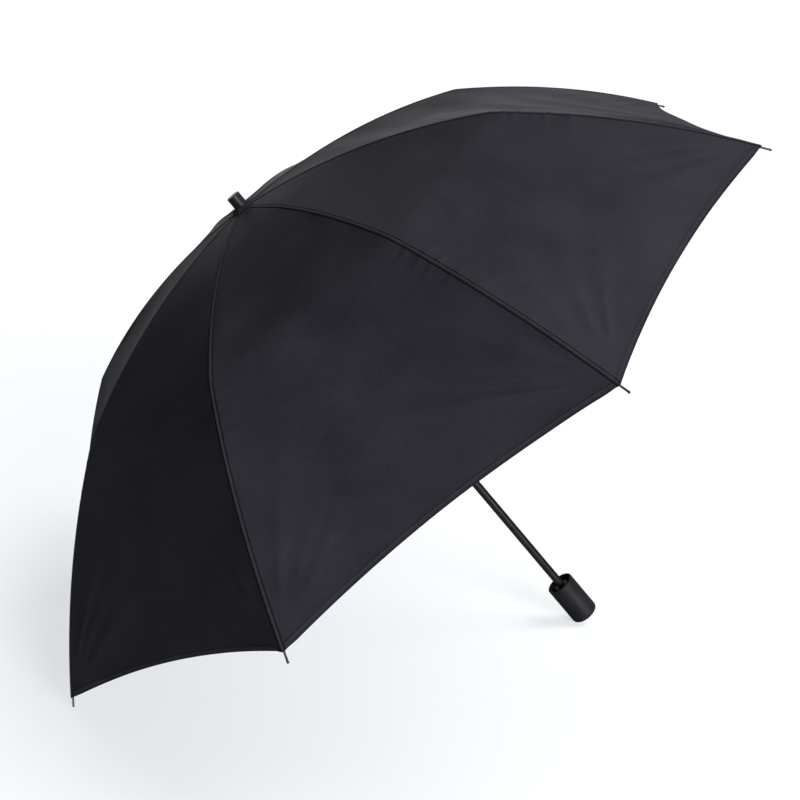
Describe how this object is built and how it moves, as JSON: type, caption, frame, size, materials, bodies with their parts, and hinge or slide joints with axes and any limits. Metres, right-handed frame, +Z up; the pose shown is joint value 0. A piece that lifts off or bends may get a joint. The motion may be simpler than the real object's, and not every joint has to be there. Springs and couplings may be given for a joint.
{
  "type": "folding umbrella",
  "caption": "Compact folding umbrella with sectioned ribs, a telescoping shaft, a black fabric canopy and a short cupped handle.",
  "frame": {"origin": "centre of the handle, where the hand holds it, on the shaft's axis", "axes": "+Z up the shaft towards the ferrule, +X along rib 1"},
  "size_m": [0.961, 0.961, 0.6352],
  "materials": {
    "handle_black": "matte moulded black",
    "shaft_black": "satin black lacquered steel tube",
    "runner_plastic": "moulded black",
    "bright_steel": "plain",
    "ferrule_gloss": "polished black",
    "rib_black": "black coated steel",
    "tip_metal": "black coated wire with a bead",
    "canopy_fabric": "fine plain-weave coated polyester"
  },
  "bodies": {
    "handle": {"handle_shell": "handle_black", "handle_core": "handle_black", "end_cap": "handle_black", "handle_pin": "bright_steel", "lower_tube": "shaft_black"},
    "middle_tube": {"middle_tube": "shaft_black"},
    "upper_tube": {"upper_tube": "shaft_black", "crown": "runner_plastic", "crown_pins": "bright_steel", "ferrule": "ferrule_gloss", "top_washer": "handle_black", "canopy": "canopy_fabric"},
    "runner": {"runner": "runner_plastic", "runner_pins": "bright_steel"},
    "release_button": {"release_button": "bright_steel"},
    "inner_rib_1": {"inner_rib_1": "rib_black"},
    "middle_rib_1": {"middle_rib_1": "rib_black"},
    "outer_rib_1": {"outer_rib_1": "rib_black", "rib_tip_1": "tip_metal"},
    "stretcher_1": {"stretcher_1": "rib_black"},
    "inner_rib_2": {"inner_rib_2": "rib_black"},
    "middle_rib_2": {"middle_rib_2": "rib_black"},
    "outer_rib_2": {"outer_rib_2": "rib_black", "rib_tip_2": "tip_metal"},
    "stretcher_2": {"stretcher_2": "rib_black"},
    "inner_rib_3": {"inner_rib_3": "rib_black"},
    "middle_rib_3": {"middle_rib_3": "rib_black"},
    "outer_rib_3": {"outer_rib_3": "rib_black", "rib_tip_3": "tip_metal"},
    "stretcher_3": {"stretcher_3": "rib_black"},
    "inner_rib_4": {"inner_rib_4": "rib_black"},
    "middle_rib_4": {"middle_rib_4": "rib_black"},
    "outer_rib_4": {"outer_rib_4": "rib_black", "rib_tip_4": "tip_metal"},
    "stretcher_4": {"stretcher_4": "rib_black"},
    "inner_rib_5": {"inner_rib_5": "rib_black"},
    "middle_rib_5": {"middle_rib_5": "rib_black"},
    "outer_rib_5": {"outer_rib_5": "rib_black", "rib_tip_5": "tip_metal"},
    "stretcher_5": {"stretcher_5": "rib_black"},
    "inner_rib_6": {"inner_rib_6": "rib_black"},
    "middle_rib_6": {"middle_rib_6": "rib_black"},
    "outer_rib_6": {"outer_rib_6": "rib_black", "rib_tip_6": "tip_metal"},
    "stretcher_6": {"stretcher_6": "rib_black"},
    "inner_rib_7": {"inner_rib_7": "rib_black"},
    "middle_rib_7": {"middle_rib_7": "rib_black"},
    "outer_rib_7": {"outer_rib_7": "rib_black", "rib_tip_7": "tip_metal"},
    "stretcher_7": {"stretcher_7": "rib_black"},
    "inner_rib_8": {"inner_rib_8": "rib_black"},
    "middle_rib_8": {"middle_rib_8": "rib_black"},
    "outer_rib_8": {"outer_rib_8": "rib_black", "rib_tip_8": "tip_metal"},
    "stretcher_8": {"stretcher_8": "rib_black"}
  },
  "joints": [
    {"name": "middle_tube_slide", "type": "slide", "parent": "handle", "child": "middle_tube", "axis": [0, 0, -1], "range_m": [0, 0.165]},
    {"name": "upper_tube_slide", "type": "slide", "parent": "middle_tube", "child": "upper_tube", "axis": [0, 0, -1], "range_m": [0, 0.1355]},
    {"name": "runner_slide", "type": "slide", "parent": "upper_tube", "child": "runner", "axis": [0, 0, -1], "range_m": [0, 0.14785], "deforming": ["canopy"]},
    {"name": "release_button_press", "type": "slide", "parent": "runner", "child": "release_button", "axis": [-1, 0, 0], "range_m": [0, 0.0012], "stiffness_N_per_m": 900},
    {"name": "crown_hinge_1", "type": "hinge", "parent": "upper_tube", "child": "inner_rib_1", "pos_m": [0.0095, 0, 0.58625], "axis": [0, 1, 0], "range_deg": [0, 82.84]},
    {"name": "upper_fold_1", "type": "hinge", "parent": "inner_rib_1", "child": "middle_rib_1", "pos_m": [0.14627, 0, 0.5711], "axis": [0, 1, 0], "range_deg": [-192.1, 0]},
    {"name": "knee_fold_1", "type": "hinge", "parent": "middle_rib_1", "child": "outer_rib_1", "pos_m": [0.27485, 0, 0.52195], "axis": [0, 1, 0], "range_deg": [0, 158.89]},
    {"name": "runner_hinge_1", "type": "hinge", "parent": "runner", "child": "stretcher_1", "pos_m": [0.0095, 0, 0.5041], "axis": [0, 1, 0], "range_deg": [-56.46, 0]},
    {"name": "crown_hinge_2", "type": "hinge", "parent": "upper_tube", "child": "inner_rib_2", "pos_m": [0.00672, 0.00672, 0.58625], "axis": [-0.7071, 0.7071, 0], "range_deg": [0, 82.84]},
    {"name": "upper_fold_2", "type": "hinge", "parent": "inner_rib_2", "child": "middle_rib_2", "pos_m": [0.10343, 0.10343, 0.5711], "axis": [-0.7071, 0.7071, 0], "range_deg": [-192.1, 0]},
    {"name": "knee_fold_2", "type": "hinge", "parent": "middle_rib_2", "child": "outer_rib_2", "pos_m": [0.19434, 0.19434, 0.52195], "axis": [-0.7071, 0.7071, 0], "range_deg": [0, 158.89]},
    {"name": "runner_hinge_2", "type": "hinge", "parent": "runner", "child": "stretcher_2", "pos_m": [0.00672, 0.00672, 0.5041], "axis": [-0.7071, 0.7071, 0], "range_deg": [-56.46, 0]},
    {"name": "crown_hinge_3", "type": "hinge", "parent": "upper_tube", "child": "inner_rib_3", "pos_m": [0, 0.0095, 0.58625], "axis": [-1, 0, 0], "range_deg": [0, 82.84]},
    {"name": "upper_fold_3", "type": "hinge", "parent": "inner_rib_3", "child": "middle_rib_3", "pos_m": [0, 0.14627, 0.5711], "axis": [-1, 0, 0], "range_deg": [-192.1, 0]},
    {"name": "knee_fold_3", "type": "hinge", "parent": "middle_rib_3", "child": "outer_rib_3", "pos_m": [0, 0.27485, 0.52195], "axis": [-1, 0, 0], "range_deg": [0, 158.89]},
    {"name": "runner_hinge_3", "type": "hinge", "parent": "runner", "child": "stretcher_3", "pos_m": [0, 0.0095, 0.5041], "axis": [-1, 0, 0], "range_deg": [-56.46, 0]},
    {"name": "crown_hinge_4", "type": "hinge", "parent": "upper_tube", "child": "inner_rib_4", "pos_m": [-0.00672, 0.00672, 0.58625], "axis": [-0.7071, -0.7071, 0], "range_deg": [0, 82.84]},
    {"name": "upper_fold_4", "type": "hinge", "parent": "inner_rib_4", "child": "middle_rib_4", "pos_m": [-0.10343, 0.10343, 0.5711], "axis": [-0.7071, -0.7071, 0], "range_deg": [-192.1, 0]},
    {"name": "knee_fold_4", "type": "hinge", "parent": "middle_rib_4", "child": "outer_rib_4", "pos_m": [-0.19434, 0.19434, 0.52195], "axis": [-0.7071, -0.7071, 0], "range_deg": [0, 158.89]},
    {"name": "runner_hinge_4", "type": "hinge", "parent": "runner", "child": "stretcher_4", "pos_m": [-0.00672, 0.00672, 0.5041], "axis": [-0.7071, -0.7071, 0], "range_deg": [-56.46, 0]},
    {"name": "crown_hinge_5", "type": "hinge", "parent": "upper_tube", "child": "inner_rib_5", "pos_m": [-0.0095, 0, 0.58625], "axis": [0, -1, 0], "range_deg": [0, 82.84]},
    {"name": "upper_fold_5", "type": "hinge", "parent": "inner_rib_5", "child": "middle_rib_5", "pos_m": [-0.14627, 0, 0.5711], "axis": [0, -1, 0], "range_deg": [-192.1, 0]},
    {"name": "knee_fold_5", "type": "hinge", "parent": "middle_rib_5", "child": "outer_rib_5", "pos_m": [-0.27485, 0, 0.52195], "axis": [0, -1, 0], "range_deg": [0, 158.89]},
    {"name": "runner_hinge_5", "type": "hinge", "parent": "runner", "child": "stretcher_5", "pos_m": [-0.0095, 0, 0.5041], "axis": [0, -1, 0], "range_deg": [-56.46, 0]},
    {"name": "crown_hinge_6", "type": "hinge", "parent": "upper_tube", "child": "inner_rib_6", "pos_m": [-0.00672, -0.00672, 0.58625], "axis": [0.7071, -0.7071, 0], "range_deg": [0, 82.84]},
    {"name": "upper_fold_6", "type": "hinge", "parent": "inner_rib_6", "child": "middle_rib_6", "pos_m": [-0.10343, -0.10343, 0.5711], "axis": [0.7071, -0.7071, 0], "range_deg": [-192.1, 0]},
    {"name": "knee_fold_6", "type": "hinge", "parent": "middle_rib_6", "child": "outer_rib_6", "pos_m": [-0.19434, -0.19434, 0.52195], "axis": [0.7071, -0.7071, 0], "range_deg": [0, 158.89]},
    {"name": "runner_hinge_6", "type": "hinge", "parent": "runner", "child": "stretcher_6", "pos_m": [-0.00672, -0.00672, 0.5041], "axis": [0.7071, -0.7071, 0], "range_deg": [-56.46, 0]},
    {"name": "crown_hinge_7", "type": "hinge", "parent": "upper_tube", "child": "inner_rib_7", "pos_m": [0, -0.0095, 0.58625], "axis": [1, 0, 0], "range_deg": [0, 82.84]},
    {"name": "upper_fold_7", "type": "hinge", "parent": "inner_rib_7", "child": "middle_rib_7", "pos_m": [0, -0.14627, 0.5711], "axis": [1, 0, 0], "range_deg": [-192.1, 0]},
    {"name": "knee_fold_7", "type": "hinge", "parent": "middle_rib_7", "child": "outer_rib_7", "pos_m": [0, -0.27485, 0.52195], "axis": [1, 0, 0], "range_deg": [0, 158.89]},
    {"name": "runner_hinge_7", "type": "hinge", "parent": "runner", "child": "stretcher_7", "pos_m": [0, -0.0095, 0.5041], "axis": [1, 0, 0], "range_deg": [-56.46, 0]},
    {"name": "crown_hinge_8", "type": "hinge", "parent": "upper_tube", "child": "inner_rib_8", "pos_m": [0.00672, -0.00672, 0.58625], "axis": [0.7071, 0.7071, 0], "range_deg": [0, 82.84]},
    {"name": "upper_fold_8", "type": "hinge", "parent": "inner_rib_8", "child": "middle_rib_8", "pos_m": [0.10343, -0.10343, 0.5711], "axis": [0.7071, 0.7071, 0], "range_deg": [-192.1, 0]},
    {"name": "knee_fold_8", "type": "hinge", "parent": "middle_rib_8", "child": "outer_rib_8", "pos_m": [0.19434, -0.19434, 0.52195], "axis": [0.7071, 0.7071, 0], "range_deg": [0, 158.89]},
    {"name": "runner_hinge_8", "type": "hinge", "parent": "runner", "child": "stretcher_8", "pos_m": [0.00672, -0.00672, 0.5041], "axis": [0.7071, 0.7071, 0], "range_deg": [-56.46, 0]}
  ],
  "couplings": [
    {"joint": "crown_hinge_1", "follows": "runner_slide", "rad_per_m": 9.7797},
    {"joint": "upper_fold_1", "follows": "runner_slide", "rad_per_m": -22.677},
    {"joint": "knee_fold_1", "follows": "runner_slide", "rad_per_m": 18.757},
    {"joint": "runner_hinge_1", "follows": "runner_slide", "rad_per_m": -6.6645},
    {"joint": "crown_hinge_2", "follows": "runner_slide", "rad_per_m": 9.7797},
    {"joint": "upper_fold_2", "follows": "runner_slide", "rad_per_m": -22.677},
    {"joint": "knee_fold_2", "follows": "runner_slide", "rad_per_m": 18.757},
    {"joint": "runner_hinge_2", "follows": "runner_slide", "rad_per_m": -6.6645},
    {"joint": "crown_hinge_3", "follows": "runner_slide", "rad_per_m": 9.7797},
    {"joint": "upper_fold_3", "follows": "runner_slide", "rad_per_m": -22.677},
    {"joint": "knee_fold_3", "follows": "runner_slide", "rad_per_m": 18.757},
    {"joint": "runner_hinge_3", "follows": "runner_slide", "rad_per_m": -6.6645},
    {"joint": "crown_hinge_4", "follows": "runner_slide", "rad_per_m": 9.7797},
    {"joint": "upper_fold_4", "follows": "runner_slide", "rad_per_m": -22.677},
    {"joint": "knee_fold_4", "follows": "runner_slide", "rad_per_m": 18.757},
    {"joint": "runner_hinge_4", "follows": "runner_slide", "rad_per_m": -6.6645},
    {"joint": "crown_hinge_5", "follows": "runner_slide", "rad_per_m": 9.7797},
    {"joint": "upper_fold_5", "follows": "runner_slide", "rad_per_m": -22.677},
    {"joint": "knee_fold_5", "follows": "runner_slide", "rad_per_m": 18.757},
    {"joint": "runner_hinge_5", "follows": "runner_slide", "rad_per_m": -6.6645},
    {"joint": "crown_hinge_6", "follows": "runner_slide", "rad_per_m": 9.7797},
    {"joint": "upper_fold_6", "follows": "runner_slide", "rad_per_m": -22.677},
    {"joint": "knee_fold_6", "follows": "runner_slide", "rad_per_m": 18.757},
    {"joint": "runner_hinge_6", "follows": "runner_slide", "rad_per_m": -6.6645},
    {"joint": "crown_hinge_7", "follows": "runner_slide", "rad_per_m": 9.7797},
    {"joint": "upper_fold_7", "follows": "runner_slide", "rad_per_m": -22.677},
    {"joint": "knee_fold_7", "follows": "runner_slide", "rad_per_m": 18.757},
    {"joint": "runner_hinge_7", "follows": "runner_slide", "rad_per_m": -6.6645},
    {"joint": "crown_hinge_8", "follows": "runner_slide", "rad_per_m": 9.7797},
    {"joint": "upper_fold_8", "follows": "runner_slide", "rad_per_m": -22.677},
    {"joint": "knee_fold_8", "follows": "runner_slide", "rad_per_m": 18.757},
    {"joint": "runner_hinge_8", "follows": "runner_slide", "rad_per_m": -6.6645}
  ]
}
